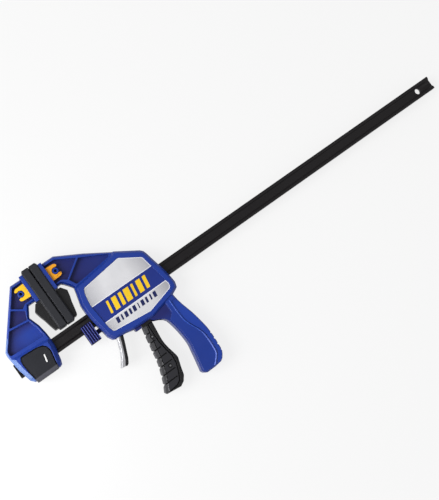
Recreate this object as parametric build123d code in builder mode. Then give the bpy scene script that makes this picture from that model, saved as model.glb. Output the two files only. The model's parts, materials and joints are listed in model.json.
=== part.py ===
from build123d import *
import math
import os

# Quick release bar clamp, closed, lying on its side.
# Outlines are drawn with x = 0 at the clamping plane, y = 0 on the bar's axis
# and z = 0 at the bar's mid-plane. level() places them in the part's frame,
# whose origin is the bottom centre of the whole clamp.

# ---------------------------------------------------------------- bar
bar_start = -85.5
bar_end = 620.5
bar_high = 20.0
bar_thick = 9.5
bar_web = 5.0              # web thickness between the two side recesses
bar_flange = 4.4           # height of each edge flange
bar_hole_r = 4.4
bar_hole_edge = 24.0       # hole centre to bar end, the same at both ends
stake_r = 1.1              # small punched mark beside the end hole
stake_back = 7.5
stake_drop = 2.5

# ---------------------------------------------------------------- jaws and pads
throat = 92.0              # bar's top edge to the pads' tips
pad_bottom = 13.2
pad_half = 16.0            # half width, the widest part of the clamp
pad_flat = 14.6
pad_inset = 1.2
pad_front = 0.3            # pad face to clamping plane at rest
pad_back = 11.5
core_front = 4.5           # stiff core inside the soft pad
core_half = 12.0
wing_half = 11.0
plate_back = 16.6          # back of the jaw's mounting plate
plate_half = 14.0
arm_half = 10.0
arm_flat = 6.0
arm_inset = 2.2
web_half = 3.0
foot_half = 13.0
foot_flat = 9.3
foot_inset = 4.2
foot_slot = 20.0           # the bar's slot is open to here
cap_floor = 10.4
cap_face = 13.3
boss_x = 26.4
boss_y = 78.8
boss_r = 4.1
clip_low = 6.0
clip_high = 10.6
clip_reach = 9.4           # how deep the clips' feet go into the pad carrier
clip_half = 7.0            # half width of the clips' feet
clip_room = 0.1

# ---------------------------------------------------------------- head
head_half = 15.0
head_flat = 10.8
head_inset = 3.2
tunnel_front = 20.0        # the bar's way through the head
tunnel_rear = 150.0
lip_half = 9.0
label_floor = 13.7
label_thick = 0.35
cavity_half = 11.0
handle_half = 13.0
handle_flat = 10.4
handle_inset = 2.0
handle_floor = 11.2        # recess under the housing's rim
handle_band = 12.2         # stepped band along the handle's back
crease_floor = 11.4        # groove in front of the band
crease_wide = 1.8
notch_count = 4            # finger notches in the handle's back
notch_pitch = 8.7
notch_top = -103.2
notch_deep = 1.4
notch_wide = 5.0
handle_bottom = -143.0
hollow_half = 9.8
wall = 3.2

# ---------------------------------------------------------------- mechanism
pivot_x = 84.0             # trigger pivot, above the bar
pivot_y = 22.0
pivot_r = 3.0
pin_half = 12.4
eye_r = 7.2
fork_low = 5.4
fork_high = 8.2
trigger_half = 8.6
grip_half = 9.2
grip_core = 5.5
grip_cover = 4.0           # grip in front of the trigger's core
notch_in = 2.0             # notches in the grip's front edge
groove_wide = 1.7
groove_deep = 1.4
seam_back = 5.4            # lengthwise groove, from the front edge
seam_wide = 1.2
rivet_r = 2.2
rivet_seat_r = 2.9         # recess round each rivet's head
rivet_seat = 1.3
rivet_tip_r = 1.3
slot_half = 9.6
brake_x = 55.0             # release lever pivot
brake_y = 19.0
brake_r = 2.2
lever_half = 10.2
lever_inset = 1.2
drive_front = 91.3
drive_plate = 3.0
drive_count = 3
drive_high = 19.0
drive_half = 9.5
spring_y = 14.6
spring_r = 2.8
wire_r = 0.6
pocket_r = 4.2
brake_spring_y = -16.0
brake_pocket_r = 4.7      # leaves room for the lever's swing
guide_front = 31.5
guide_rear = 125.0
guide_thick = 3.0
guide_high = 13.5
guide_half = 9.5
slide_front = 9.9
slide_back = 24.8
slide_top = -0.2
slide_bottom = -27.0
slide_half = 9.0
slide_rib = 0.9
slide_ribs = 5
rib_wide = 0.9
rib_margin = 0.4
tongue_high = -14.0
tongue_low = -20.0
tongue_half = 3.0
tongue_end = 43.2
screw_r = 1.9
screw_head_r = 3.2
screw_boss_r = 4.6
screw_tip = 8.0

# ---------------------------------------------------------------- clearances
run_gap = 0.05             # shaft in its hole, radial
seat_gap = 0.05            # parts that seat against one another
bar_gap = 0.15             # guide plates on the bar
plate_gap = 0.25           # drive plates on the bar
window_gap = 0.4           # housing, lever and slide around the bar
lever_gap = 1.5            # lever's window above and below the bar

pad_top = bar_high / 2 + throat
bar_side = bar_thick / 2
bar_edge = bar_high / 2
bar_tail_hole = bar_start + bar_hole_edge
bar_end_hole = bar_end - bar_hole_edge
drive_rear = drive_front + drive_count * drive_plate + (drive_count - 1) * seat_gap
origin_x = (bar_start + bar_end) / 2
origin_y = (pad_top + handle_bottom) / 2
base_z = pad_half


def level(z):
    return Plane(origin=(-origin_x, -origin_y, base_z + z))


def station(x):
    return Plane(origin=(x - origin_x, -origin_y, base_z), x_dir=(0, 1, 0), z_dir=(1, 0, 0))


def placed(x, y, z):
    return level(0).from_local_coords(Vector(x, y, z))


def block(x0, x1, y0, y1, z0, z1, mode=Mode.ADD):
    # box between two corners
    with Locations(Location(placed((x0 + x1) / 2, (y0 + y1) / 2, (z0 + z1) / 2))):
        Box(abs(x1 - x0), y1 - y0, z1 - z0, mode=mode)


def rod(x, y, z0, z1, radius, mode=Mode.ADD):
    # cylinder across the clamp
    with Locations(Location(placed(x, y, (z0 + z1) / 2))):
        Cylinder(radius, z1 - z0, mode=mode)


def bore(x0, x1, y, radius, mode=Mode.SUBTRACT):
    # cylinder along the bar
    with Locations(Location(placed((x0 + x1) / 2, y, 0), (0, 90, 0))):
        Cylinder(radius, x1 - x0, mode=mode)


def drawn(points, z, radius, grow):
    # closed outline, with rounded corners or an offset
    with BuildSketch(level(z)) as outline:
        Polygon(*points, align=None)
        if radius:
            fillet(outline.vertices(), radius)
        if grow:
            offset(amount=grow, kind=Kind.INTERSECTION)
    return outline.sketch


def prism(points, z0, z1, mode=Mode.ADD, radius=0.0, grow=0.0):
    extrude(drawn(points, z0, radius, grow), amount=z1 - z0, mode=mode)


def bevelled(points, z0, flat, z1, inset, radius=0.0, grow=0.0):
    # prism whose top rim slopes inwards above the flat height
    plate = Solid.extrude(drawn(points, z0, radius, grow).face(), Vector(0, 0, z1 - z0))
    top = plate.faces().sort_by(Axis.Z)[-1]
    add(plate.chamfer(inset, z1 - flat, top.edges(), top))


def coil(x0, x1, y, turns):
    # compression spring along the bar
    with BuildLine() as path:
        Helix((x1 - x0) / turns, x1 - x0, spring_r, center=placed(x0, y, 0), direction=(1, 0, 0))
    with BuildSketch(Plane(origin=path.line @ 0, z_dir=path.line % 0)) as wire:
        Circle(wire_r)
    sweep(wire.sketch, path=path.line)


mid_plane = level(0)
clamp_plane = Plane(origin=(-origin_x, 0, 0), z_dir=(1, 0, 0))
os.makedirs("parts", exist_ok=True)


# ================================================================ bar
def bar_profile():
    # one side of the section from the top edge down, then the other side up
    inner = bar_edge - bar_flange
    ramp = (bar_side - bar_web / 2) / 2
    upper = [(bar_edge, bar_side), (inner + ramp, bar_side), (inner - ramp, bar_web / 2)]
    near = upper + [(-y, z) for y, z in reversed(upper)]
    return near + [(y, -z) for y, z in reversed(near)]


with BuildPart() as bar:
    with BuildSketch(station(bar_start)) as bar_section:
        Polygon(*bar_profile(), align=None)
    extrude(amount=bar_end - bar_start)
    for hole_x in (bar_tail_hole, bar_end_hole):
        rod(hole_x, 0, -bar_side, bar_side, bar_hole_r, Mode.SUBTRACT)
    rod(bar_end_hole - stake_back, -stake_drop, bar_web / 2 - 0.5, bar_side, stake_r, Mode.SUBTRACT)
bar.part.label = "bar"

# ================================================================ fixed jaw
jaw_outline = [
    (-plate_back + 1, 95), (-32.0, 95), (-83.8, 28.5), (-84.8, 24), (-84.6, 19.0), (-82.5, 0),
    (-80.5, -10), (-78.5, -18.5), (-74.0, -23.5), (-70.0, -24.0), (-38.0, -26.0), (-34.5, -24.5),
    (-32.3, -19.0), (-30.0, -8.0), (-28.3, 2.0), (-27.8, 12.0), (-28.2, 20.0), (-30.0, 33.0),
    (-34.8, 48.0), (-26.5, 61.7), (-plate_back + 1, 61.7),
]
foot_outline = [
    (-83.2, 17.6), (-81.3, 0), (-79.4, -9.7), (-77.2, -18.4), (-72.5, -22.6), (-37.4, -24.8),
    (-33.6, -19.0), (-31.2, -7.8), (-29.6, 2.0), (-29.2, 13.2),
]
pocket_low = [
    (-80.6, 20.6), (-81.4, 24.0), (-80.9, 27.5), (-64.7, 47.8), (-37.6, 44.5), (-33.6, 32.0), (-32.0, 18.2),
]
pocket_mid = [(-63.0, 50.0), (-48.8, 68.2), (-34.0, 58.2), (-38.5, 47.2)]
pocket_tip = [
    (-47.5, 69.9), (-31.0, 91.3), (-plate_back, 91.3), (-plate_back, 65.4), (-29.0, 65.4),
    (-35.0, 61.6),
]
cap_outline = [
    (-75.0, 2.0), (-74.5, 8.0), (-72.0, 12.2), (-68.0, 12.8), (-48.0, 11.3), (-41.0, 9.0),
    (-36.9, 4.5), (-35.8, -2.0), (-40.3, -26.5), (-71.7, -26.5), (-74.0, -12.0),
]
cap_left = -71.7
cap_right = -40.3
cap_shelf = -22.4          # the foot ends here above the cap's bottom
slot_outline = [(-45.0, -1.5), (-46.9, -1.5), (-49.2, -11.5), (-47.3, -11.5)]


def mounting_plate(side):
    # half of the plate that the pad seats on, with its boss and clip slot
    near = side * (pad_back + seat_gap)
    far = side * plate_back
    block(near, far, 59.0, 97.8, 0, plate_half)
    rod(side * boss_x, boss_y, 0, arm_half, boss_r)
    rod(side * boss_x, boss_y, web_half, arm_half, 2.0, Mode.SUBTRACT)
    block(near - side, far + side, boss_y - clip_half - clip_room, boss_y + clip_half + clip_room,
          clip_low - seat_gap, clip_high + seat_gap, Mode.SUBTRACT)


with BuildPart() as fixed_jaw:
    bevelled(jaw_outline, 0, arm_flat, arm_half, arm_inset)
    bevelled(foot_outline, 0, foot_flat, foot_half, foot_inset)
    for pocket in (pocket_low, pocket_mid, pocket_tip):
        prism(pocket, web_half, foot_half + 1, Mode.SUBTRACT, radius=1.2)
    mounting_plate(-1)
    prism(cap_outline, cap_floor, foot_half + 1, Mode.SUBTRACT)
    block(cap_left, cap_right, -30, cap_shelf, 0, foot_half + 1, Mode.SUBTRACT)
    block(bar_start - 5, -foot_slot, -bar_edge - seat_gap, bar_edge + seat_gap, 0,
          bar_side + seat_gap, Mode.SUBTRACT)
    rod(bar_tail_hole, 0, 0, cap_floor + 1, bar_hole_r, Mode.SUBTRACT)
    mirror(about=mid_plane)
fixed_jaw.part.label = "fixed_jaw"

with BuildPart() as jaw_lock_pin:
    rod(bar_tail_hole, 0, -cap_floor + seat_gap, cap_floor - seat_gap, bar_hole_r - seat_gap)
jaw_lock_pin.part.label = "jaw_lock_pin"

with BuildPart() as jaw_foot_cap:
    bevelled(cap_outline, cap_floor + seat_gap, cap_face - 1, cap_face, 0.8, grow=-seat_gap)
    block(cap_left + seat_gap, cap_right - seat_gap, -26.5 + seat_gap, cap_shelf - seat_gap, 0, cap_face - 1)
    prism(slot_outline, cap_floor + 1, cap_face + 1, Mode.SUBTRACT)
    mirror(about=mid_plane)
jaw_foot_cap.part.label = "jaw_foot_cap"

with BuildPart() as cap_indicator:
    prism(slot_outline, cap_floor + 1 + seat_gap, cap_face - 0.3, grow=-seat_gap)
    mirror(about=mid_plane)
cap_indicator.part.label = "cap_indicator"

# ================================================================ pads, drawn for the moving side
pad_outline = [
    (pad_front, pad_bottom), (pad_back, pad_bottom), (pad_back, pad_top - 3.0),
    (pad_back - 1.8, pad_top), (pad_front, pad_top),
]
wing_outline = [
    (pad_back + seat_gap, 57.5), (19.0, 57.5), (24.8, 49.5), (23.0, 41), (20.8, 34), (19.0, 25),
    (17.2, 17.5), (16.4, 16.0), (pad_back + seat_gap, 15.6),
]
core_low = pad_bottom + 3
core_high = pad_top - 3.6
clip_outline = [
    (plate_back + seat_gap, 69.2), (28.2, 69.8), (31.2, 71.2), (31.7, 73.0), (31.7, 84.6),
    (31.2, 86.2), (28.2, 87.8), (plate_back + seat_gap, 88.4),
]
clip_mouth = [(boss_x + 1, 75.2), (33.0, 73.4), (33.0, 84.2), (boss_x + 1, 82.4)]

with BuildPart() as moving_pad:
    bevelled(pad_outline, 0, pad_flat, pad_half, pad_inset, radius=1.5)
    mirror(about=mid_plane)
    block(core_front, pad_back + 1, core_low, core_high, -core_half, core_half, Mode.SUBTRACT)
    for groove in range(10):
        groove_y = pad_bottom + 8 + groove * 8
        block(pad_front - 1, pad_front + 0.8, groove_y, groove_y + 1.2, -pad_half, pad_half, Mode.SUBTRACT)
moving_pad.part.label = "moving_pad"

with BuildPart() as moving_pad_carrier:
    block(core_front + seat_gap, pad_back + seat_gap, core_low + seat_gap, core_high - seat_gap,
          -core_half + seat_gap, core_half - seat_gap)
    prism(wing_outline, -wing_half, wing_half)
    for z0 in (clip_low, -clip_high):
        block(clip_reach, pad_back + 1, boss_y - clip_half - clip_room, boss_y + clip_half + clip_room,
              z0 - seat_gap, z0 + clip_high - clip_low + seat_gap, Mode.SUBTRACT)
moving_pad_carrier.part.label = "moving_pad_carrier"

with BuildPart() as moving_pad_clips:
    prism(clip_outline, clip_low, clip_high, radius=0.6)
    rod(boss_x, boss_y, clip_low, clip_high, boss_r + 0.7, Mode.SUBTRACT)
    prism(clip_mouth, clip_low, clip_high, Mode.SUBTRACT)
    block(clip_reach + seat_gap, plate_back + 1, boss_y - clip_half, boss_y + clip_half, clip_low,
          clip_high)
    mirror(about=mid_plane)
moving_pad_clips.part.label = "moving_pad_clips"

with BuildPart() as fixed_pad:
    mirror(moving_pad.part, about=clamp_plane)
fixed_pad.part.label = "fixed_pad"

with BuildPart() as fixed_pad_carrier:
    mirror(moving_pad_carrier.part, about=clamp_plane)
fixed_pad_carrier.part.label = "fixed_pad_carrier"

with BuildPart() as fixed_pad_clips:
    mirror(moving_pad_clips.part, about=clamp_plane)
fixed_pad_clips.part.label = "fixed_pad_clips"

# ================================================================ head shells
arm_outline = [
    (plate_back - 1, 96.4), (34.4, 96.4), (68.4, 77.7), (101.4, 57.2), (131.2, 38.4), (120, 20), (40, 20),
    (27.3, 23.8), (31.0, 36.6), (33.5, 47.7), (30.0, 53.2), (25.5, 58.8), (22.9, 61.2),
    (plate_back - 1, 61.2),
]
body_outline = [
    (33.5, 46.8), (62.5, 50.2), (93.0, 54.0), (101.4, 57.2), (131.2, 38.4), (134.5, 34.9),
    (136.0, 30.4), (139.5, 13.8), (142.3, 1.6), (144.5, -14.0), (145.1, -22.0), (142.9, -29.0),
    (139.5, -30.9), (130.0, -35.5), (96.2, -43.4), (86.2, -42.9), (66.0, -42.3), (56.2, -39.8),
    (40.0, -38.4), (36.0, -36.5), (32.5, -30.0), (30.5, -17.3), (28.0, -4.0), (26.9, 10.4),
    (27.3, 23.8), (31.0, 36.6),
]
handle_outline = [
    (84.0, -38.0), (93.5, -47.5), (100.5, -50.4), (105.2, -53.7), (108.2, -57.8), (109.6, -62.8),
    (110.9, -69.4), (112.2, -78.3), (113.0, -88.3), (113.2, -95.0), (112.7, -101.7), (111.4, -108.3),
    (109.8, -117.2), (108.0, -126.1), (106.4, -133.9), (105.6, -137.4), (107.0, -140.4),
    (110.5, handle_bottom), (124.0, handle_bottom), (133.6, -141.8), (137.2, -139.6), (140.6, -135.4),
    (143.4, -130.4), (144.0, -122.8), (144.7, -113.9), (145.0, -102.8), (144.8, -96.1),
    (143.9, -88.3), (142.3, -78.3), (140.1, -67.2), (137.7, -58.4), (135.6, -50.6), (134.0, -42.8),
    (133.0, -34.0), (128.0, -28.0), (96.0, -28.0),
]
pocket_arm_tip = [
    (plate_back, 91.8), (33.4, 91.8), (57.9, 77.8), (32.4, 60.5), (28.0, 63.8), (24.5, 65.0),
    (plate_back, 65.0),
]
pocket_arm = [
    (59.9, 76.4), (95.6, 57.9), (92.6, 54.9), (62.6, 51.2), (40.6, 48.9), (38.6, 49.8), (33.9, 58.8),
]
label_outline = [
    (37.1, 11.8), (37.1, 17.1), (38.2, 24.9), (39.9, 32.7), (42.1, 37.7), (43.8, 38.8),
    (99.3, 46.0), (101.6, 45.8), (126.6, 29.9), (128.2, 27.7), (131.0, 12.1), (134.9, -12.9),
    (136.6, -17.3), (136.2, -21.8), (133.8, -25.1), (96.0, -35.1), (43.8, -29.0), (41.6, -27.3),
    (39.9, -20.7), (39.1, -12.7),
]
handle_recess = [
    (80.0, -34.0), (118.2, -34.0), (118.2, -52.0), (110.0, -60.0), (104.0, -54.0), (96.0, -49.6),
    (84.0, -46.0),
]
crease_line = [
    (123.4, -40.0), (123.4, -61.7), (125.1, -72.8), (130.4, -83.9), (134.3, -91.7), (136.6, -100.6),
    (136.8, -113.9), (135.6, -128.3), (127.9, -138.3), (124.0, -146.0),
]
band_cut = crease_line + [(150.0, -146.0), (150.0, -40.0)]
crease_cut = crease_line + [(x + crease_wide, y) for x, y in reversed(crease_line)]
lip_outline = [(66.0, -40.0), (66.0, -45.0), (67.5, -46.2), (74.8, -46.2), (74.8, -40.0)]
notch_line = [(145.0, -102.8), (143.4, -130.4)]    # the handle's back where it is notched
handle_hollow = [
    (113.4, -66.0), (115.8, -80.0), (116.6, -95.0), (115.0, -108.0), (112.0, -124.0), (110.4, -135.0),
    (112.0, -139.4), (133.0, -138.4), (139.2, -131.0), (140.6, -113.0), (140.8, -100.0),
    (138.4, -80.0), (134.6, -64.0),
]
lever_chamber = [
    (45.0, 27.5), (66.0, 27.5), (66.0, -34.6), (57.5, -35.6), (57.5, -46.0), (30.0, -46.0),
    (38.6, -37.0), (42.6, -14.0), (44.0, 0.0),
]
drive_chamber = [
    (71.0, -36.0), (71.0, 30.5), (121.5, 30.5), (121.5, -21.0), (104.0, -21.0), (104.0, -36.0),
]
trigger_slot = [
    (71.0, -50.0), (71.0, -34.0), (104.0, -34.0), (104.0, -62.0), (84.0, -62.0), (84.0, -50.0),
]
body_screws = [(62.0, 45.0), (116.0, 42.0), (35.0, 31.5), (139.6, -21.0), (122.0, -32.8)]
handle_screws = [(122.0, -61.0), (125.0, -128.0)]


def along_x(line, y):
    # x on a falling line of straight spans
    for (x0, y0), (x1, y1) in zip(line, line[1:]):
        if y >= y1:
            return x0 + (x1 - x0) * (y - y0) / (y1 - y0)
    return line[-1][0]


with BuildPart() as head_shell_front:
    bevelled(arm_outline, 0, arm_flat, arm_half, arm_inset)
    bevelled(handle_outline, 0, handle_flat, handle_half, handle_inset)
    prism(handle_recess, handle_floor, head_half + 1, Mode.SUBTRACT)
    prism(band_cut, handle_band, head_half + 1, Mode.SUBTRACT)
    prism(crease_cut, crease_floor, head_half + 1, Mode.SUBTRACT)
    for notch in range(notch_count):
        notch_y = notch_top - notch * notch_pitch
        notch_x = along_x(notch_line, notch_y)
        prism([(notch_x + 2, notch_y + notch_wide / 2), (notch_x - notch_deep, notch_y),
               (notch_x + 2, notch_y - notch_wide)], 0, handle_half + 1, Mode.SUBTRACT)
    prism(handle_hollow, 0, hollow_half, Mode.SUBTRACT)
    for screw_x, screw_y in handle_screws:
        rod(screw_x, screw_y, 0, hollow_half + 0.5, screw_boss_r)
    bevelled(body_outline, 0, head_flat, head_half, head_inset)
    for pocket in (pocket_arm_tip, pocket_arm):
        prism(pocket, web_half, head_half + 1, Mode.SUBTRACT, radius=0.6)
    mounting_plate(1)
    prism(label_outline, label_floor, head_half + 1, Mode.SUBTRACT, grow=0.15)
    for chamber in (lever_chamber, drive_chamber):
        prism(chamber, 0, cavity_half, Mode.SUBTRACT)
    prism(trigger_slot, 0, slot_half, Mode.SUBTRACT)
    prism(lip_outline, 0, lip_half)
    block(tunnel_front, tunnel_rear, -bar_edge - window_gap, bar_edge + window_gap, 0,
          bar_side + window_gap, Mode.SUBTRACT)
    for guide_x in (guide_front, guide_rear):
        block(guide_x - seat_gap, guide_x + guide_thick + seat_gap, -guide_high - seat_gap,
              guide_high + seat_gap, 0, guide_half + seat_gap, Mode.SUBTRACT)
    block(tunnel_front, tongue_end + 3, tongue_low - window_gap, tongue_high + window_gap, 0,
          tongue_half + window_gap, Mode.SUBTRACT)
    bore(60, 69.5, brake_spring_y + 0.3, brake_pocket_r)
    for spring_line in (spring_y, -spring_y):
        bore(120, 124.6, spring_line, pocket_r)
    rod(pivot_x, pivot_y, 0, pin_half + seat_gap, pivot_r + seat_gap, Mode.SUBTRACT)
    rod(brake_x, brake_y, 0, pin_half + seat_gap, brake_r + seat_gap, Mode.SUBTRACT)
    for screw_x, screw_y in body_screws + handle_screws:
        rod(screw_x, screw_y, 0, screw_tip + 0.2, screw_r + seat_gap, Mode.SUBTRACT)
    split(bisect_by=mid_plane, keep=Keep.TOP)
head_shell_front.part.label = "head_shell_front"

with BuildPart() as head_shell_rear:
    mirror(head_shell_front.part, about=mid_plane)
    for screws, face in ((body_screws, head_half), (handle_screws, handle_half)):
        for screw_x, screw_y in screws:
            rod(screw_x, screw_y, -face - 1, -face + 3.2 + seat_gap, screw_head_r + seat_gap, Mode.SUBTRACT)
            rod(screw_x, screw_y, -face, 0, screw_r + seat_gap, Mode.SUBTRACT)
head_shell_rear.part.label = "head_shell_rear"

with BuildPart() as head_screws:
    for screws, face in ((body_screws, head_half), (handle_screws, handle_half)):
        for screw_x, screw_y in screws:
            rod(screw_x, screw_y, -face + 1.0, -face + 3.2, screw_head_r)
            rod(screw_x, screw_y, -face + 3.2, screw_tip, screw_r)
            with BuildSketch(level(-face + 1.0)) as socket:
                with Locations((screw_x, screw_y)):
                    RegularPolygon(1.6, 6)
            extrude(socket.sketch, amount=1.4, mode=Mode.SUBTRACT)
head_screws.part.label = "head_screws"

with BuildPart() as label_front:
    prism(label_outline, label_floor + 0.02, label_floor + label_thick)
label_front.part.label = "label_front"

with BuildPart() as label_rear:
    mirror(label_front.part, about=mid_plane)
label_rear.part.label = "label_rear"

# ================================================================ guides and pins
with BuildPart() as guide_plates:
    for guide_x in (guide_front, guide_rear):
        block(guide_x, guide_x + guide_thick, -guide_high, guide_high, -guide_half, guide_half)
        block(guide_x - 1, guide_x + guide_thick + 1, -bar_edge - bar_gap, bar_edge + bar_gap,
              -bar_side - bar_gap, bar_side + bar_gap, Mode.SUBTRACT)
guide_plates.part.label = "guide_plates"

with BuildPart() as trigger_pin:
    rod(pivot_x, pivot_y, -pin_half, pin_half, pivot_r)
trigger_pin.part.label = "trigger_pin"

with BuildPart() as release_pin:
    rod(brake_x, brake_y, -pin_half, pin_half, brake_r)
release_pin.part.label = "release_pin"

# ================================================================ drive plates
with BuildPart() as drive_plates:
    for index in range(drive_count):
        plate_x = drive_front + index * (drive_plate + seat_gap)
        block(plate_x, plate_x + drive_plate, -drive_high, drive_high, -drive_half, drive_half)
    block(drive_front - 1, drive_rear + 1, -bar_edge - plate_gap, bar_edge + plate_gap,
          -bar_side - plate_gap, bar_side + plate_gap, Mode.SUBTRACT)
drive_plates.part.label = "drive_plates"

with BuildPart() as drive_springs:
    for spring_line in (spring_y, -spring_y):
        coil(drive_rear + wire_r + seat_gap, 120.2, spring_line, 5)
drive_springs.part.label = "drive_springs"

# ================================================================ release lever
lever_outline = [
    (49.6, 22.5), (52.0, 25.0), (58.0, 25.0), (60.4, 22.5), (60.4, 13.0), (57.2, 9.0),
    (57.2, -19.0), (51.5, -35.5), (47.1, -35.5), (45.7, -39.4), (42.4, -48.9), (38.1, -59.4),
    (33.7, -68.3), (29.7, -74.3), (22.6, -73.3), (26.1, -68.9), (31.1, -61.7), (35.6, -52.8),
    (38.9, -43.9), (41.0, -37.4), (45.4, -14.0), (47.4, 0.0), (49.6, 12.0),
]
lever_strip = [
    (47.1, -35.5), (51.5, -35.5), (50.1, -38.3), (48.1, -43.3), (44.7, -51.7), (40.8, -60.6),
    (38.0, -67.2), (34.2, -73.3), (31.8, -75.0), (29.7, -74.3), (33.7, -68.3), (38.1, -59.4),
    (42.4, -48.9), (45.7, -39.4),
]
with BuildPart() as release_lever:
    bevelled(lever_outline, 0, lever_half - 1.5, lever_half, lever_inset)
    mirror(about=mid_plane)
    block(40, 62, -bar_edge - lever_gap, bar_edge + lever_gap, -bar_side - window_gap,
          bar_side + window_gap, Mode.SUBTRACT)
    rod(brake_x, brake_y, -lever_half - 1, lever_half + 1, brake_r + run_gap, Mode.SUBTRACT)
release_lever.part.label = "release_lever"

with BuildPart() as release_lever_grip:
    prism(lever_strip, -lever_half + 0.4, lever_half - 0.4, grow=-seat_gap)
release_lever_grip.part.label = "release_lever_grip"

with BuildPart() as brake_spring:
    coil(57.2 + wire_r + seat_gap, 66.0, brake_spring_y, 4)
brake_spring.part.label = "brake_spring"

# ================================================================ trigger
front_line = [
    (75.6, -46.5), (73.2, -57), (71.2, -68), (69.0, -79), (67.2, -90), (64.2, -101), (60.2, -112),
    (55.6, -123), (50.8, -131.6),
]
valleys = [-57.0, -69.0, -80.2, -91.0, -102.0, -113.0, -123.5]
rim_line = [
    (83.4, -46.5), (82.6, -60.0), (82.3, -73.9), (84.0, -87.2), (86.0, -98.3), (84.5, -109.4),
    (80.1, -120.6), (75.4, -129.4), (69.0, -132.8),
]
rear_line = [
    (72.4, -137.4), (79.0, -133.8), (84.0, -127.4), (86.8, -117.4), (89.2, -110.2), (91.0, -104.6),
    (91.0, -101.1), (89.6, -93.9), (88.4, -88.3), (87.3, -80.6), (87.1, -73.9), (87.9, -66.1),
    (89.0, -57.2), (90.3, -46.5),
]
fork_outline = [
    (76.9, 22.0), (76.9, -14.0), (76.4, -46.5), (90.2, -46.5), (88.6, -30.0), (88.0, -19.0),
    (90.9, 0.0), (91.1, 22.0),
]
fork_block = [(76.9, -14.5), (76.4, -46.5), (90.2, -46.5), (88.6, -30.0), (88.0, -19.0), (88.6, -14.5)]
rivets = [(79.0, -63.3), (76.4, -107.4)]

front_edge = [front_line[0]]
for valley in valleys:
    valley_x = along_x(front_line, valley)
    front_edge += [(along_x(front_line, valley + notch_in), valley + notch_in), (valley_x + notch_in, valley)]
    front_edge += [(along_x(front_line, valley - notch_in), valley - notch_in)]
front_edge += [front_line[-1], (52.0, -134.6)]
core_edge = [(x + grip_cover, y) for x, y in front_line[:-1]] + [(58.5, -130.0)]
seam_cut = [(x + seam_back, y) for x, y in front_line[:-1]]
seam_cut += [(x + seam_wide, y) for x, y in reversed(seam_cut)]
grip_outline = front_edge + [(x - 2 * seat_gap, y) for x, y in reversed(rim_line)]
core_outline = core_edge + [(69.0, -132.0)] + rim_line[-2::-1]
rear_rim = [(52.0, -134.7)] + rear_line + rim_line

with BuildPart() as trigger:
    prism(fork_outline, fork_low, fork_high)
    rod(pivot_x, pivot_y, fork_low, fork_high, eye_r)
    prism(fork_block, 0, fork_high)
    bevelled(rear_rim, 0, trigger_half - 1.6, trigger_half, 1.0)
    prism(core_outline, 0, grip_core)
    mirror(about=mid_plane)
    rod(pivot_x, pivot_y, -fork_high - 1, fork_high + 1, pivot_r + run_gap, Mode.SUBTRACT)
    for rivet_x, rivet_y in rivets:
        rod(rivet_x, rivet_y, -grip_half, grip_half, rivet_r + seat_gap, Mode.SUBTRACT)
trigger.part.label = "trigger"

with BuildPart() as trigger_grip:
    bevelled(grip_outline, 0, grip_half - 1.6, grip_half, 0.9)
    prism(core_outline, 0, grip_core + seat_gap, Mode.SUBTRACT, grow=seat_gap)
    for valley in valleys:
        block(along_x(front_line, valley) - 4, along_x(rim_line, valley) - 2.2, valley - groove_wide / 2,
              valley + groove_wide / 2, grip_half - groove_deep, grip_half + 1, Mode.SUBTRACT)
    prism(seam_cut, grip_half - groove_deep, grip_half + 1, Mode.SUBTRACT)
    for rivet_x, rivet_y in rivets:
        rod(rivet_x, rivet_y, grip_half - rivet_seat, grip_half + 1, rivet_seat_r, Mode.SUBTRACT)
    mirror(about=mid_plane)
    for rivet_x, rivet_y in rivets:
        rod(rivet_x, rivet_y, -grip_half - 1, grip_half + 1, rivet_r + seat_gap, Mode.SUBTRACT)
trigger_grip.part.label = "trigger_grip"

with BuildPart() as trigger_rivets:
    for rivet_x, rivet_y in rivets:
        rod(rivet_x, rivet_y, -grip_half + rivet_seat, grip_half - rivet_seat, rivet_r)
        rod(rivet_x, rivet_y, -grip_half + 0.5, grip_half - 0.5, rivet_tip_r)
trigger_rivets.part.label = "trigger_rivets"

# ================================================================ thumb slide
with BuildPart() as thumb_slide:
    block(slide_front, slide_back, slide_bottom, slide_top, -slide_half, slide_half)
    rib_pitch = (slide_back - slide_front - 2 * rib_margin - rib_wide) / (slide_ribs - 1)
    for rib in range(slide_ribs):
        rib_x = slide_front + rib_margin + rib * rib_pitch
        block(rib_x, rib_x + rib_wide, slide_bottom + 2 * rib_margin, slide_top - 2 * rib_margin,
              -slide_half - slide_rib, slide_half + slide_rib)
    block(slide_front - 1, slide_back + 1, -bar_edge - window_gap, 0, -bar_side - window_gap,
          bar_side + window_gap, Mode.SUBTRACT)
    block(slide_back - 1, tongue_end, tongue_low, tongue_high, -tongue_half, tongue_half)
thumb_slide.part.label = "thumb_slide"

subparts = [
    bar, fixed_jaw, jaw_lock_pin, jaw_foot_cap, cap_indicator, fixed_pad, fixed_pad_carrier,
    fixed_pad_clips, moving_pad, moving_pad_carrier, moving_pad_clips, head_shell_front,
    head_shell_rear, label_front, label_rear, head_screws, guide_plates, trigger_pin, release_pin,
    drive_plates, drive_springs, release_lever, release_lever_grip, brake_spring, trigger,
    trigger_grip, trigger_rivets, thumb_slide,
]
for item in subparts:
    export_step(item.part, "parts/" + item.part.label + ".step")
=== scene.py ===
import bpy
import bmesh
import json
import math
from mathutils import Matrix, Vector


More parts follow.
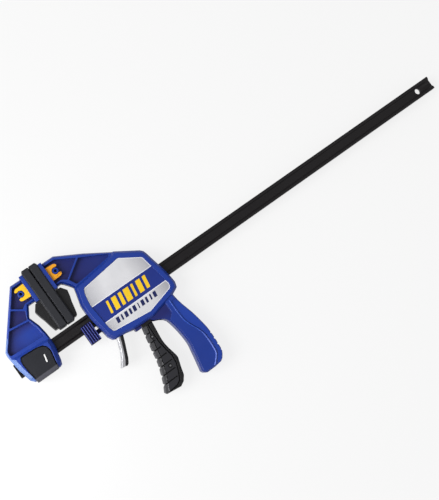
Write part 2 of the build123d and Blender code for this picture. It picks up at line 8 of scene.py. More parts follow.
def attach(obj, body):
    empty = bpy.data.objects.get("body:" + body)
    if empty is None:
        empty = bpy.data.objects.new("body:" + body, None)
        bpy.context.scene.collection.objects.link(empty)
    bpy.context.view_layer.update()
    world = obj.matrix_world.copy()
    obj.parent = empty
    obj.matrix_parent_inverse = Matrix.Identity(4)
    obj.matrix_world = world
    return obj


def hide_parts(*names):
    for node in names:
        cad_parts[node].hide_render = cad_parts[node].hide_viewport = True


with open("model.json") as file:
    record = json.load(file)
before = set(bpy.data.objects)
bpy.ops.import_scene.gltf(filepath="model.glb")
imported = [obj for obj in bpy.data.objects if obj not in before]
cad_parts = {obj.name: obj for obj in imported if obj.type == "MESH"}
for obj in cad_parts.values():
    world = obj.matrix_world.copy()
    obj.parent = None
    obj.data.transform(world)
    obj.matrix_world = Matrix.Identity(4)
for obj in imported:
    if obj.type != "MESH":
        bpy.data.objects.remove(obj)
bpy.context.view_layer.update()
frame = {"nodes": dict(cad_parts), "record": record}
print("frame loaded:", len(frame["nodes"]), "nodes")

mm = 0.001
originX = 267.5   # the frame's origin, in mm from the clamping plane, the bar's axis and its mid-plane
originY = -20.5
originZ = -16.0


def placed(x, y, z=0.0):
    # a place given in mm from the clamping plane, the bar's axis and its mid-plane
    return Vector(((x - originX) * mm, (y - originY) * mm, (z - originZ) * mm))


midHeight = placed(0, 0, 0).z


class Wire:
    # one socket, so that sums on it read as plain sums
    def __init__(self, finish, socket):
        self.finish = finish
        self.socket = socket

    def maths(self, operation, other, swapped=False):
        values = {0: other, 1: self} if swapped else {0: self, 1: other}
        return self.finish.make("ShaderNodeMath", {"operation": operation}, values)

    def __add__(self, other):
        return self.maths("ADD", other)

    def __radd__(self, other):
        return self.maths("ADD", other, True)

    def __sub__(self, other):
        return self.maths("SUBTRACT", other)

    def __rsub__(self, other):
        return self.maths("SUBTRACT", other, True)

    def __mul__(self, other):
        return self.maths("MULTIPLY", other)

    def __rmul__(self, other):
        return self.maths("MULTIPLY", other, True)

    def __lt__(self, other):
        return self.maths("LESS_THAN", other)

    def __gt__(self, other):
        return self.maths("GREATER_THAN", other)

    def size(self):
        return self.finish.make("ShaderNodeMath", {"operation": "ABSOLUTE"}, {0: self})


edgeFacts = {"samples": 6, "flat": 0.99, "bent": 0.8}


class Finish:
    # one material and its shader
    def __init__(self, name, **values):
        self.material = bpy.data.materials.new(name)
        self.material.use_nodes = True
        self.tree = self.material.node_tree
        self.tree.nodes.clear()
        self.output = self.tree.nodes.new("ShaderNodeOutputMaterial")
        self.shader = self.tree.nodes.new("ShaderNodeBsdfPrincipled")
        self.tree.links.new(self.shader.outputs[0], self.output.inputs["Surface"])
        for key, value in values.items():
            self.set(key, value)

    def make(self, kind, settings=None, inputs=None, output=0):
        # one node: its settings first, then a value or a link for each socket
        node = self.tree.nodes.new(kind)
        for key, value in (settings or {}).items():
            setattr(node, key, value)
        for key, value in (inputs or {}).items():
            self.feed(node.inputs[key], value)
        return Wire(self, node.outputs[output])

    def feed(self, socket, value):
        if isinstance(value, Wire):
            self.tree.links.new(value.socket, socket)
        else:
            socket.default_value = value

    def set(self, name, value):
        self.feed(self.shader.inputs[name], value)

    def here(self):
        return self.make("ShaderNodeTexCoord", output="Object")

    def stretched(self, scale):
        return self.make("ShaderNodeMapping", None, {"Vector": self.here(), "Scale": scale})

    def axes(self, vector=None):
        # the three parts of a vector, or of the place itself
        first = self.make("ShaderNodeSeparateXYZ", None, {0: vector or self.here()})
        return [Wire(self, socket) for socket in first.socket.node.outputs]

    def facing(self):
        # how far a surface faces along the bar, across it and up
        return self.axes(self.make("ShaderNodeNewGeometry", output="Normal"))

    def noise(self, pattern, vector=None):
        # a pattern is a scale, a detail and a roughness
        scale, detail, rough = pattern
        inputs = {"Vector": vector or self.here(), "Scale": scale, "Detail": detail, "Roughness": rough}
        return self.make("ShaderNodeTexNoise", None, inputs)

    def spread(self, value, low, high, outLow=0.0, outHigh=1.0):
        inputs = {"Value": value, "From Min": low, "From Max": high, "To Min": outLow, "To Max": outHigh}
        return self.make("ShaderNodeMapRange", {"clamp": True}, inputs)

    def mix(self, factor, first, second):
        # the node's colour sockets are inputs 6 and 7 and output 2
        return self.make("ShaderNodeMix", {"data_type": "RGBA"}, {0: factor, 6: first, 7: second}, 2)

    def bump(self, height, distance, strength, normal=None):
        inputs = {"Height": height, "Distance": distance, "Strength": strength}
        if normal:
            inputs["Normal"] = normal
        return self.make("ShaderNodeBump", None, inputs)

    def rounded(self, radius, samples):
        return self.make("ShaderNodeBevel", {"samples": samples}, {"Radius": radius})

    def edge(self, radius):
        # how much a surface bends nearby, 0 on flats and rising on edges
        flat = self.make("ShaderNodeNewGeometry", output="Normal")
        same = self.make("ShaderNodeVectorMath", {"operation": "DOT_PRODUCT"},
                         {0: self.rounded(radius, edgeFacts["samples"]), 1: flat}, "Value")
        return self.spread(same, edgeFacts["flat"], edgeFacts["bent"])


def rgb(r, g, b):
    return (r, g, b, 1.0)


def shaded(colour, share):
    return rgb(*[min(tone * share, 1.0) for tone in colour])


# masks are 1 where a tint shows fully and 0 where it doesn't; places along x and y are in mm,
# heights and widths in metres
flatFace = 0.7   # how far up or down a level face looks


def heightOf(finish):
    # distance from the clamp's mid-plane
    return (finish.axes()[2] - midHeight).size()


def levelFace(finish):
    return finish.facing()[2].size() > flatFace


def overX(finish, x, span, most=1.0):
    # rises from 0 to most between two places along the bar
    return finish.spread(x, placed(span[0], 0).x, placed(span[1], 0).x, 0.0, most)


def overY(finish, y, span):
    # rises from 0 to 1 between two places across the bar
    return finish.spread(y, placed(0, span[0]).y, placed(0, span[1]).y)


def between(finish, value, points):
    # a broken line through points, read off at value
    total = points[0][1]
    for (low, first), (high, second) in zip(points, points[1:]):
        total = total + finish.spread(value, low, high, 0.0, second - first)
    return total


def xAtY(finish, y, points):
    return between(finish, y, [(placed(0, high).y, placed(along, 0).x) for along, high in points])


def yAtX(finish, x, points):
    return between(finish, x, [(placed(along, 0).x, placed(0, high).y) for along, high in points])


pocketFacts = {"rim": 0.0095, "floor": 0.006, "footX": (-82, -48), "footY": (46, 34),
               "ringX": (38, 100), "ringPale": 0.55, "depth": 0.92}


def pocketShade(finish):
    # painted shade on the floors of the arms' pockets, fainter toward the foot and the ring
    x, y = finish.axes()[:2]
    sunk = finish.spread(heightOf(finish), pocketFacts["rim"], pocketFacts["floor"]) * levelFace(finish)
    foot = overX(finish, x, pocketFacts["footX"]) * overY(finish, y, pocketFacts["footY"])
    ring = overX(finish, x, pocketFacts["ringX"], pocketFacts["ringPale"])
    return sunk * (1.0 - (foot + ring)) * pocketFacts["depth"]


recessFacts = {"rim": 0.0126, "floor": 0.0118, "footY": (-70, -48), "handleX": (119.5, 116),
               "topY": (-30, -34), "frontX": 60, "depth": 0.85}


def recessShade(finish):
    # painted shade in the hollow under the ring, beside the handle
    x, y = finish.axes()[:2]
    sunk = finish.spread(heightOf(finish), recessFacts["rim"], recessFacts["floor"])
    near = overY(finish, y, recessFacts["footY"]) * overX(finish, x, recessFacts["handleX"])
    inside = overY(finish, y, recessFacts["topY"]) * (x > placed(recessFacts["frontX"], 0).x)
    return sunk * near * inside * recessFacts["depth"]


borderFacts = {"turned": (-0.15, -0.5), "sloping": 0.2,
               "jaw": {"x": -72, "wall": 0.3, "slope": 0.3},   # slopes get both shares
               "head": {"x": 20, "wall": 0.35, "slope": 0.4}}


def border(finish, values):
    # borders that face the jaw's end
    facing = finish.facing()
    share = (facing[2].size() > borderFacts["sloping"]) * values["slope"] + values["wall"]
    return finish.spread(facing[0], *borderFacts["turned"]) * share


def outerEdgeHighlight(finish):
    # painted highlight on the jaw's outer border, paler on its slope than on its wall
    values = borderFacts["jaw"]
    return border(finish, values) * (finish.axes()[0] < placed(values["x"], 0).x)


def headEdgeShade(finish):
    # painted shade on the head's borders that face the jaw
    values = borderFacts["head"]
    return border(finish, values) * (finish.axes()[0] > placed(values["x"], 0).x)


gripFacts = {"front": [(50.8, -131.6), (60.2, -112), (67.2, -90), (75.6, -46.5)],   # x and y
             "grooveBack": 0.0056, "backX": 90, "seamFade": (0.0007, 0.0003), "seamBreaks": (420.0, 1.0, 0.5),
             "seamKept": 0.52, "seamPale": 0.7, "ribs": 0.0088, "grooves": 0.0082}


def behindFront(finish, x, y):
    # how far back from the front of the trigger's grip
    return x - xAtY(finish, y, gripFacts["front"])


def frontStrip(finish):
    # the grip's front blocks, as far back as the lengthwise groove
    x, y = finish.axes()[:2]
    return (behindFront(finish, x, y) < gripFacts["grooveBack"]) * (x < placed(gripFacts["backX"], 0).x)


def seamHighlight(finish):
    # painted highlights at the ends of the cross grooves, where they meet the lengthwise one
    x, y = finish.axes()[:2]
    gap = (behindFront(finish, x, y) - gripFacts["grooveBack"]).size()
    kept = finish.noise(gripFacts["seamBreaks"]) > gripFacts["seamKept"]
    return finish.spread(gap, *gripFacts["seamFade"]) * kept * gripFacts["seamPale"]


# painted shade in the grip's grooves
def gripGrooveShade(finish):
    return finish.spread(heightOf(finish), gripFacts["ribs"], gripFacts["grooves"]) * levelFace(finish)


capFacts = {"left": [(-71.7, -26.5), (-74.0, -12.0), (-75.0, 2.0), (-74.5, 8.0), (-72.0, 12.2)],
            "right": [(-40.3, -26.5), (-35.8, -2.0), (-36.9, 4.5), (-41.0, 9.0), (-48.0, 11.3)],
            "top": [(-74.5, 8.0), (-72.0, 12.2), (-68.0, 12.8), (-48.0, 11.3), (-41.0, 9.0), (-36.9, 4.5)],
            "rim": 0.0018, "blur": 0.15, "footY": (-20.4, -21.4)}


def capRimShade(finish):
    # painted shade as a dark border inside the cap's outline, open at its foot
    x, y = finish.axes()[:2]
    gaps = [x - xAtY(finish, y, capFacts["left"]), xAtY(finish, y, capFacts["right"]) - x,
            yAtX(finish, x, capFacts["top"]) - y]
    outer = capFacts["rim"] * (1 + capFacts["blur"])
    inner = capFacts["rim"] * (1 - capFacts["blur"])
    near = [finish.spread(gap, outer, inner) for gap in gaps]
    return near[0] + near[1] + near[2]


def capFootLight(finish):
    # painted light on the cap's lowest strip
    return overY(finish, finish.axes()[1], capFacts["footY"])


slideFacts = {"ribTops": 0.0095}


# painted highlight on the tops of the slide's ribs
def ribTops(finish):
    return heightOf(finish) > slideFacts["ribTops"]


rivetFacts = {"tips": 0.0083}


def rivetTip(finish):
    return heightOf(finish) > rivetFacts["tips"]


ridgeFacts = {"sunk": 0.45, "face": 13.0, "rearStart": 3,   # the rear bead starts below a screw
              "footY": (-84, -118), "bandTopY": (-42, -48), "bandBlur": 0.001, "bandPale": 0.8,
              # line points are x, y and radius
              "line": [(124.2, -37.0, 1.2), (124.2, -50.0, 1.2), (124.2, -62.0, 1.2), (125.4, -72.8, 1.1),
                       (130.3, -83.9, 0.9), (133.9, -91.7, 0.9), (135.9, -99.6, 0.9),
                       (136.2, -107.0, 0.95), (136.1, -115.0, 1.0), (135.5, -122.5, 1.05),
                       (134.8, -128.4, 1.1), (132.0, -132.5, 1.1), (128.0, -136.6, 1.1),
                       (123.4, -141.0, 1.0)]}


# painted highlight, lighter toward the ridge's foot
def ridgeFootHighlight(finish):
    return overY(finish, finish.axes()[1], ridgeFacts["footY"])


def rearBandLight(finish):
    # painted light on the handle's strip behind its ridge
    x, y = finish.axes()[:2]
    line = [point[:2] for point in reversed(ridgeFacts["line"])]
    behind = finish.spread(x - xAtY(finish, y, line), 0.0, ridgeFacts["bandBlur"])
    return behind * overY(finish, y, ridgeFacts["bandTopY"]) * ridgeFacts["bandPale"]


def tinted(finish, colour, tints):
    for mask, tint in tints:
        colour = finish.mix(mask(finish), colour, rgb(*tint))
    return colour


mouldFacts = {"cloud": (18.0, 4.0, 0.6), "cloudTones": (0.92, 1.07), "grain": (2600.0, 2.0, 0.6),
              "grainStrength": 0.5, "edgeTintPattern": (70.0, 3.0, 0.5), "sheen": (60.0, 4.0, 0.6),
              "sheenSpan": (-0.05, 0.07), "reach": (0.3, 0.7), "samples": 8}


def moulded(name, values):
    # moulded resin or rubber: fine grain, faint flow marks, soft corners, and edges tinted partly as wear and
    # partly as painted highlight (as painted shade on the cap, where the tint is darker)
    finish = Finish(name)
    look = values["look"]
    reach = mouldFacts["reach"]
    low, high = [shaded(values["base"], share) for share in mouldFacts["cloudTones"]]
    flow = finish.mix(finish.spread(finish.noise(mouldFacts["cloud"]), *reach), low, high)
    colour = tinted(finish, flow, values.get("tints", ()))
    # edge tint: paler as wear and painted highlight, darker on the cap as painted shade
    edgeTint = finish.edge(look["edgeTintWidth"]) * finish.spread(finish.noise(mouldFacts["edgeTintPattern"]), *reach)
    finish.set("Base Color", finish.mix(edgeTint * look["edgeTint"], colour, rgb(*values["edgeTintColour"])))
    span = [look["rough"] + change for change in mouldFacts["sheenSpan"]]
    finish.set("Roughness", finish.spread(finish.noise(mouldFacts["sheen"]), *reach, *span))
    soft = finish.rounded(look["softWidth"], mouldFacts["samples"])
    grain = finish.noise(mouldFacts["grain"])
    finish.set("Normal", finish.bump(grain, look["grain"], mouldFacts["grainStrength"], soft))
    finish.set("Specular IOR Level", look["gloss"])
    return finish.material


steelFacts = {"lines": (90.0, 3.0, 0.6), "toneReach": (0.35, 0.65), "lowTone": 0.72,
              "sheenReach": (0.3, 0.7), "sheenSpan": (-0.06, 0.08), "relief": 0.00003, "strength": 0.4}


def steel(name, values):
    # plain metal with drawn lines
    finish = Finish(name, Metallic=values["metal"])
    lines = finish.noise(steelFacts["lines"], finish.stretched(values["stretch"]))
    low = shaded(values["base"], steelFacts["lowTone"])
    colour = finish.mix(finish.spread(lines, *steelFacts["toneReach"]), low, rgb(*values["base"]))
    finish.set("Base Color", tinted(finish, colour, values.get("tints", ())))
    span = [values["rough"] + change for change in steelFacts["sheenSpan"]]
    finish.set("Roughness", finish.spread(lines, *steelFacts["sheenReach"], *span))
    finish.set("Normal", finish.bump(lines, steelFacts["relief"], steelFacts["strength"]))
    return finish.material


resinLook = dict(rough=0.4, edgeTint=0.3, edgeTintWidth=0.0009, softWidth=0.0009, grain=0.00005, gloss=0.4)
blackLook = dict(rough=0.44, edgeTint=0.35, edgeTintWidth=0.0008, softWidth=0.0006, grain=0.00005, gloss=0.35)
slideLook = dict(rough=0.45, edgeTint=0.2, edgeTintWidth=0.0005, softWidth=0.0003, grain=0.00004, gloss=0.15)
capLook = dict(rough=0.5, edgeTint=0.2, edgeTintWidth=0.0009, softWidth=0.0002, grain=0.00006, gloss=0.12)
rubberLook = dict(rough=0.58, edgeTint=0.5, edgeTintWidth=0.0009, softWidth=0.0007, grain=0.00009, gloss=0.2)
clipLook = dict(rough=0.38, edgeTint=0.2, edgeTintWidth=0.0005, softWidth=0.0005, grain=0.00004, gloss=0.4)
# the bar's strong edge tint paints highlight lines along its flanges
barLook = dict(rough=0.34, edgeTint=0.8, edgeTintWidth=0.0009, softWidth=0.0006, grain=0.00004, gloss=0.35)
printLook = dict(rough=0.38, edgeTint=0.1, edgeTintWidth=0.0003, softWidth=0.0001, grain=0.00002, gloss=0.4)
paintedShadeBlue = (0.009, 0.0095, 0.105)
mouldedFinishes = {
    "blueResin": {"base": (0.007, 0.037, 0.29), "edgeTintColour": (0.04, 0.1, 0.42), "look": resinLook,
                  "tints": [(pocketShade, paintedShadeBlue), (recessShade, paintedShadeBlue),
                            (rearBandLight, (0.009, 0.05, 0.38)), (outerEdgeHighlight, (0.13, 0.22, 0.42)),
                            (headEdgeShade, (0.003, 0.018, 0.17))]},
    # the ridge is painted lighter than the handle's blue as a painted highlight
    "ridgeHighlightResin": {"base": (0.02, 0.07, 0.4), "edgeTintColour": (0.1, 0.2, 0.6), "look": resinLook,
                   "tints": [(ridgeFootHighlight, (0.13, 0.2, 0.66))]},
    # the slide's blue is darkened all over as painted shade in its grooves
    "slideResin": {"base": (0.003, 0.004, 0.05), "edgeTintColour": (0.04, 0.05, 0.24), "look": slideLook,
                   "tints": [(ribTops, (0.075, 0.09, 0.36))]},
    "blackResin": {"base": (0.0055, 0.0055, 0.0068), "edgeTintColour": (0.04, 0.04, 0.045), "look": blackLook},
    "capResin": {"base": (0.021, 0.022, 0.027), "edgeTintColour": (0.004, 0.004, 0.006), "look": capLook,
                 "tints": [(capRimShade, (0.0015, 0.0015, 0.004)), (capFootLight, (0.07, 0.07, 0.085))]},
    "padRubber": {"base": (0.023, 0.024, 0.029), "edgeTintColour": (0.085, 0.085, 0.09), "look": rubberLook},
    "gripRubber": {"base": (0.027, 0.027, 0.032), "edgeTintColour": (0.1, 0.1, 0.105), "look": rubberLook,
                   "tints": [(frontStrip, (0.065, 0.065, 0.07)), (seamHighlight, (0.42, 0.42, 0.44)),
                             (gripGrooveShade, (0.003, 0.003, 0.004))]},
    "stripRubber": {"base": (0.006, 0.006, 0.007), "edgeTintColour": (0.03, 0.03, 0.032), "look": rubberLook},
    "clipYellow": {"base": (0.93, 0.56, 0.02), "edgeTintColour": (0.95, 0.68, 0.2), "look": clipLook},
    "clipAmber": {"base": (0.86, 0.36, 0.015), "edgeTintColour": (0.9, 0.55, 0.15), "look": clipLook},
    "whiteResin": {"base": (0.85, 0.85, 0.85), "edgeTintColour": (0.92, 0.92, 0.92), "look": clipLook},
    "barSteel": {"base": (0.008, 0.0065, 0.0075), "edgeTintColour": (0.09, 0.085, 0.085), "look": barLook},
    "printYellow": {"base": (0.93, 0.6, 0.015), "edgeTintColour": (0.95, 0.75, 0.2), "look": printLook},
    "printNavy": {"base": (0.006, 0.012, 0.09), "edgeTintColour": (0.02, 0.04, 0.16), "look": printLook},
    "bandBlue": {"base": (0.008, 0.026, 0.22), "edgeTintColour": (0.03, 0.07, 0.34), "look": printLook},
    "lineWhite": {"base": (0.88, 0.88, 0.9), "edgeTintColour": (0.92, 0.92, 0.92), "look": printLook},
}
steelFinishes = {
    "plainSteel": {"base": (0.5, 0.5, 0.51), "stretch": (1, 1, 14), "rough": 0.34, "metal": 1.0},
    "rivetSteel": {"base": (0.006, 0.006, 0.007), "stretch": (1, 1, 14), "rough": 0.4, "metal": 0.3,
                   "tints": [(rivetTip, (0.16, 0.16, 0.17))]},
    "castAlloy": {"base": (0.6, 0.6, 0.63), "stretch": (6, 1, 1), "rough": 0.42, "metal": 0.6},
}
filmFacts = {"middleX": 84, "bright": 0.018, "dull": 0.048, "light": (0.82, 0.82, 0.85),
             "dark": (0.42, 0.42, 0.46), "speck": (1500.0, 2.0, 0.7), "speckReach": (0.42, 0.7),
             "speckShare": 0.35, "speckColour": (0.86, 0.86, 0.88), "cloud": (30.0, 3.0, 0.6),
             "cloudReach": (0.3, 0.8), "cloudShare": 0.25, "cloudColour": (0.4, 0.4, 0.42),
             "metal": (0.4, 0.6, 0.15, 0.35), "rough": (0.3, 0.7, 0.36, 0.5),   # from a span to a span
             "relief": 0.00002, "strength": 0.3}


def silverFilm(values):
    # metallic grain that shades off toward the label's two ends
    finish = Finish("silverFilm")
    away = (finish.axes()[0] - placed(values["middleX"], 0).x).size()
    ends = finish.spread(away, values["bright"], values["dull"])
    base = finish.mix(ends, rgb(*values["light"]), rgb(*values["dark"]))
    speck = finish.noise(values["speck"])
    grains = finish.spread(speck, *values["speckReach"]) * values["speckShare"]
    grained = finish.mix(grains, base, rgb(*values["speckColour"]))
    clouds = finish.spread(finish.noise(values["cloud"]), *values["cloudReach"]) * values["cloudShare"]
    finish.set("Base Color", finish.mix(clouds, grained, rgb(*values["cloudColour"])))
    finish.set("Metallic", finish.spread(speck, *values["metal"]))
    finish.set("Roughness", finish.spread(speck, *values["rough"]))
    finish.set("Normal", finish.bump(speck, values["relief"], values["strength"]))
    return finish.material


finishes = {name: moulded(name, values) for name, values in mouldedFinishes.items()}
finishes.update({name: steel(name, values) for name, values in steelFinishes.items()})
finishes["silverFilm"] = silverFilm(filmFacts)
print("finishes made:", len(finishes))

slotFinish = {
    "blue_resin": "blueResin", "black_resin": "blackResin", "pad_rubber": "padRubber",
    "grip_rubber": "gripRubber", "clip_yellow": "clipYellow", "clip_amber": "clipAmber",
    "white_resin": "whiteResin", "label_silver": "silverFilm", "bar_steel": "barSteel",
    "pin_steel": "plainSteel", "plate_steel": "plainSteel", "spring_steel": "plainSteel",
    "lever_alloy": "castAlloy",
}
ownFinish = {"trigger_rivets": "rivetSteel", "jaw_foot_cap": "capResin", "thumb_slide": "slideResin",
             "release_lever_grip": "stripRubber"}   # nodes that differ from the rest of their slot
nodeSlot = {part["node"]: part["material_slot"] for part in frame["record"]["subparts"]}
bodyNodes = frame["record"]["behaviour"]["bodies"]
nodeBody = {node: body for body, nodes in bodyNodes.items() for node in nodes}
nodeFinish = {name: ownFinish.get(name, slotFinish[slot]) for name, slot in nodeSlot.items()}
for name, finishName in nodeFinish.items():
    node = frame["nodes"][name]
    node.data.materials.clear()
    node.data.materials.append(finishes[finishName])
print("CAD nodes dressed")


def piece(name, work, body, finishNames):
    # turns a finished bmesh into a named piece that rides on a body
    mesh = bpy.data.meshes.new(name)
    work.to_mesh(mesh)
    work.free()
    for finishName in finishNames:
        mesh.materials.append(finishes[finishName])
    made = bpy.data.objects.new(name, mesh)
    bpy.context.scene.collection.objects.link(made)
    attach(made, body)
    return made


skinFacts = {"weld": 0.000004, "speck": 0.000002, "flatDegrees": 0.6}


def merged(name, flatten=False):
    # a CAD node's form as one joined skin, and as whole flat faces where asked
    work = bmesh.new()
    work.from_mesh(frame["nodes"][name].data)
    bmesh.ops.remove_doubles(work, verts=work.verts, dist=skinFacts["weld"])
    bmesh.ops.dissolve_degenerate(work, dist=skinFacts["speck"], edges=work.edges)
    if flatten:
        bmesh.ops.dissolve_limit(work, angle_limit=math.radians(skinFacts["flatDegrees"]),
                                 verts=work.verts, edges=work.edges)
    return work


def rounding(radius, shortest, inner=False, flatten=False):
    # radius in metres, on edges no shorter than shortest; inner rounds hollow corners too
    return {"radius": radius, "shortest": shortest, "inner": inner, "flatten": flatten}


sharpAngle = math.radians(32)
shadeSplit = 1.5   # a rounded piece's shading splits at this many sharp angles
roundings = {
    "bar": rounding(0.0005, 0.0015),
    "release_lever": rounding(0.0005, 0.0006),
    "release_lever_grip": rounding(0.0005, 0.0006),
    "fixed_pad_carrier": rounding(0.0003, 0.0006, inner=True),
    "moving_pad_carrier": rounding(0.0003, 0.0006, inner=True),
    "fixed_pad_clips": rounding(0.0003, 0.0006, inner=True, flatten=True),
    "moving_pad_clips": rounding(0.0003, 0.0006, inner=True, flatten=True),
    "thumb_slide": rounding(0.0002, 0.0004, inner=True),
    "jaw_foot_cap": rounding(0.0003, 0.003),
    "fixed_pad": rounding(0.0003, 0.003),
    "moving_pad": rounding(0.0003, 0.003),
}


def softened(name, values):
    # the node's own form with its sharp edges rounded off
    work = merged(name, values["flatten"])
    sharp = [edge for edge in work.edges
             if edge.calc_face_angle(0) > sharpAngle and edge.calc_length() > values["shortest"]
             and (edge.is_convex or values["inner"])]
    bmesh.ops.bevel(work, geom=sharp, offset=values["radius"], offset_type="OFFSET", segments=2,
                    profile=0.5, affect="EDGES", clamp_overlap=False, loop_slide=True, material=-1)
    for face in work.faces:
        face.smooth = True
    made = piece(name + "_soft", work, nodeBody[name], [nodeFinish[name]])
    made.data.set_sharp_from_angle(angle=sharpAngle * shadeSplit)
    flats = made.modifiers.new("flats", "WEIGHTED_NORMAL")   # keeps the flat faces looking flat
    flats.keep_sharp = True
    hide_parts(name)


for name, values in roundings.items():
    softened(name, values)
print("moulded pieces rounded:", len(roundings))

sides = {"front": 1, "rear": -1}   # the front looks up and the rear down
labelFacts = {"bandTop": 12.5, "bandFoot": -13.3, "line": 0.9, "face": 14.05, "printHigh": 0.12,
              "outside": 0.9, "cut": 0.000001}   # in mm, apart from how far a face looks outward and the cut
filmFinishes = ["silverFilm", "lineWhite", "bandBlue"]


def labelPiece(side):
    # film with a blue band between two silver panels, each with a thin pale border
    name = "label_" + side
    work = merged(name, True)
    for level in ("bandTop", "bandFoot"):
        bmesh.ops.bisect_plane(work, geom=work.verts[:] + work.edges[:] + work.faces[:],
                               dist=labelFacts["cut"], plane_co=placed(0, labelFacts[level]),
                               plane_no=(0, 1, 0))
    panels = {"upper": [], "band": [], "lower": []}
    for face in work.faces:
        face.material_index = filmFinishes.index("silverFilm")
        if face.normal.z * sides[side] > labelFacts["outside"]:
            height = face.calc_center_median().y
            if height > placed(0, labelFacts["bandTop"]).y:
                panels["upper"].append(face)
            elif height < placed(0, labelFacts["bandFoot"]).y:
                panels["lower"].append(face)
            else:
                panels["band"].append(face)
    for face in panels["band"]:
        face.material_index = filmFinishes.index("bandBlue")
    for key in ("upper", "lower"):
        rim = bmesh.ops.inset_region(work, faces=panels[key], thickness=labelFacts["line"] * mm,
                                     use_even_offset=True, use_boundary=True)
        for face in rim["faces"]:
            face.material_index = filmFinishes.index("lineWhite")
    made = piece(name + "_film", work, "head", filmFinishes)
    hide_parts(name)


boldPrint = {"left": 51.0, "right": 118.0, "middle": 0.0, "high": 17.0, "lean": 0.16, "corner": 0.4,
             "widths": [0.35, 0.72, 0.5, 0.86, 0.35, 0.72, 0.5]}   # widths are shares of the pitch
finePrint = {"left": 52.0, "right": 116.5, "middle": -20.0, "high": 7.6, "lean": 0.16, "corner": 0.3,
             "widths": [0.7, 0.36, 0.7, 0.5, 0.7, 0.22, 0.7, 0.5, 0.36, 0.7]}


def labelPrint(side, name, values, finishName):
    # a row of slanted bars, generic and without any lettering
    work = bmesh.new()
    thick = labelFacts["printHigh"]
    level = sides[side] * (labelFacts["face"] + thick / 2)
    pitch = (values["right"] - values["left"]) / len(values["widths"])
    for step, share in enumerate(values["widths"]):
        bar = bmesh.ops.create_cube(work, size=1.0)["verts"]
        bmesh.ops.scale(work, verts=bar, vec=(pitch * share * mm, values["high"] * mm, thick * mm))
        for vertex in bar:
            vertex.co.x += vertex.co.y * values["lean"]
        middle = placed(values["left"] + (step + 0.5) * pitch, values["middle"], level)
        bmesh.ops.translate(work, verts=bar, vec=middle)
    upright = [edge for edge in work.edges if edge.verts[0].co.z != edge.verts[1].co.z]
    bmesh.ops.bevel(work, geom=upright, offset=values["corner"] * mm, offset_type="OFFSET", segments=2,
                    profile=0.5, affect="EDGES", clamp_overlap=True, material=-1)
    piece(name + "_" + side, work, "head", [finishName])


for side in sides:
    labelPiece(side)
    labelPrint(side, "label_bold_bars", boldPrint, "printYellow")
    labelPrint(side, "label_fine_bars", finePrint, "printNavy")
print("labels printed")


def handleRidge(side):
    # rounded bead along the handle's crease, half sunk in the handle's face
    level = sides[side] * (ridgeFacts["face"] - ridgeFacts["sunk"])
    path = bpy.data.curves.new("ridge", "CURVE")
    path.dimensions = "3D"
    path.bevel_depth = mm   # the points' radii are then in mm
    path.bevel_resolution = 4
    path.use_fill_caps = True
    spline = path.splines.new("NURBS")
    start = 0 if side == "front" else ridgeFacts["rearStart"]
    line = ridgeFacts["line"][start:]
    spline.points.add(len(line) - 1)
    for point, (x, y, radius) in zip(spline.points, line):
        point.co = (*placed(x, y, level), 1.0)
        point.radius = radius
    spline.order_u = 3
    spline.use_endpoint_u = True
    spline.resolution_u = 6
    guide = bpy.data.objects.new("ridge", path)
    work = bmesh.new()
    work.from_mesh(bpy.data.meshes.new_from_object(guide))
    bpy.data.objects.remove(guide)
    for face in work.faces:
        face.smooth = True
    piece("handle_ridge_" + side, work, "head", ["ridgeHighlightResin"])


for side in sides:
    handleRidge(side)
print("handle ridges laid")

cameraFacts = {"turn": 0.616282, "leanX": -0.230852, "leanY": -0.03,
               "place": (-58.4, -57.9, 1178.7), "lens": 64.8, "sensor": 36.0, "clip": (0.05, 20.0)}


def addCamera(values):
    # looks down at the clamp, leaning to one side and turned about its own line of sight
    data = bpy.data.cameras.new("camera")
    data.sensor_width = values["sensor"]
    data.lens = values["lens"]
    data.clip_start, data.clip_end = values["clip"]
    camera = bpy.data.objects.new("camera", data)
    bpy.context.scene.collection.objects.link(camera)
    back = Vector((values["leanX"], values["leanY"], 0))
    back.z = math.sqrt(1 - back.length_squared)
    along = (Vector((1, 0, 0)) - back * back.x).normalized()
    across = back.cross(along)
    right = math.cos(values["turn"]) * along - math.sin(values["turn"]) * across
    up = math.sin(values["turn"]) * along + math.cos(values["turn"]) * across
    turned = Matrix((right, up, back)).transposed().to_4x4()
    camera.matrix_world = Matrix.Translation(placed(*values["place"])) @ turned
    bpy.context.scene.camera = camera


stageFacts = {"floorSize": 6.0, "floorDrop": 0.0002, "floorColour": (0.84, 0.84, 0.84), "floorRough": 0.9,
              "floorShow": 0.8, "glowColour": (1.0, 1.0, 1.0), "glowStrength": 1.0,
              "worldColour": (1.0, 1.0, 1.0), "worldStrength": 0.4}


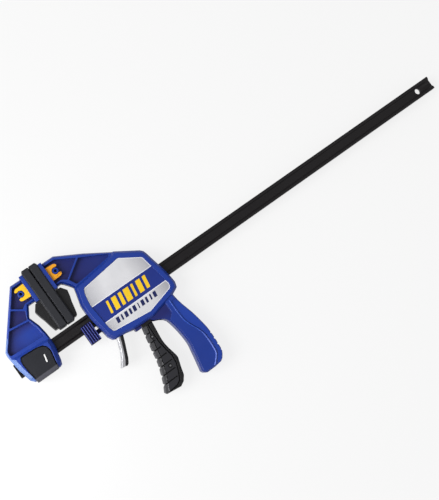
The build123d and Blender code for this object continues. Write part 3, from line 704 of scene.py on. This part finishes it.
def floorPaint(values):
    # near white where it is looked at or mirrored, so that its shadows stay faint
    paint = Finish("floorPaint", Roughness=values["floorRough"])
    paint.set("Base Color", rgb(*values["floorColour"]))
    glow = paint.make("ShaderNodeEmission", None,
                      {"Color": rgb(*values["glowColour"]), "Strength": values["glowStrength"]})
    seen = paint.make("ShaderNodeLightPath", output="Is Camera Ray")
    mirrored = paint.make("ShaderNodeLightPath", output="Is Glossy Ray")
    plain = Wire(paint, paint.shader.outputs[0])
    shown = paint.make("ShaderNodeMixShader", None,
                       {0: (seen + mirrored) * values["floorShow"], 1: plain, 2: glow})
    paint.feed(paint.output.inputs["Surface"], shown)
    return paint.material


def addFloor(values):
    mesh = bpy.data.meshes.new("floor")
    sheet = bmesh.new()
    bmesh.ops.create_grid(sheet, x_segments=1, y_segments=1, size=values["floorSize"])
    bmesh.ops.translate(sheet, verts=sheet.verts, vec=(0, 0, -values["floorDrop"]))
    sheet.to_mesh(mesh)
    sheet.free()
    floor = bpy.data.objects.new("floor", mesh)
    bpy.context.scene.collection.objects.link(floor)
    mesh.materials.append(floorPaint(values))


def addWorld(values):
    world = bpy.data.worlds.new("studio")
    bpy.context.scene.world = world
    world.use_nodes = True
    sky = world.node_tree.nodes["Background"]
    sky.inputs["Color"].default_value = rgb(*values["worldColour"])
    sky.inputs["Strength"].default_value = values["worldStrength"]


# each lamp stands away, in metres, from the place in mm that it points at
lamps = {"keyLamp": {"power": 24.0, "size": 1.0, "target": (60, 0, 0), "away": (-1.2, 0.4, 1.4)},
         "sideLamp": {"power": 0.75, "size": 0.2, "target": (-70, 0, 0), "away": (-0.22, 0.01, 0.12)},
         "fillLamp": {"power": 3.0, "size": 1.6, "target": (60, 0, 0), "away": (1.2, -0.9, 1.8)}}


def addLamp(name, values):
    data = bpy.data.lights.new(name, "AREA")
    data.shape = "SQUARE"
    data.size = values["size"]
    data.energy = values["power"]
    lamp = bpy.data.objects.new(name, data)
    bpy.context.scene.collection.objects.link(lamp)
    away = Vector(values["away"])
    lamp.location = placed(*values["target"]) + away
    lamp.rotation_mode = "QUATERNION"
    lamp.rotation_quaternion = (-away).to_track_quat("-Z", "Y")


addCamera(cameraFacts)
addFloor(stageFacts)
addWorld(stageFacts)
for name, values in lamps.items():
    addLamp(name, values)
bpy.context.scene.view_settings.view_transform = "Standard"
print("stage, lamps and camera placed")
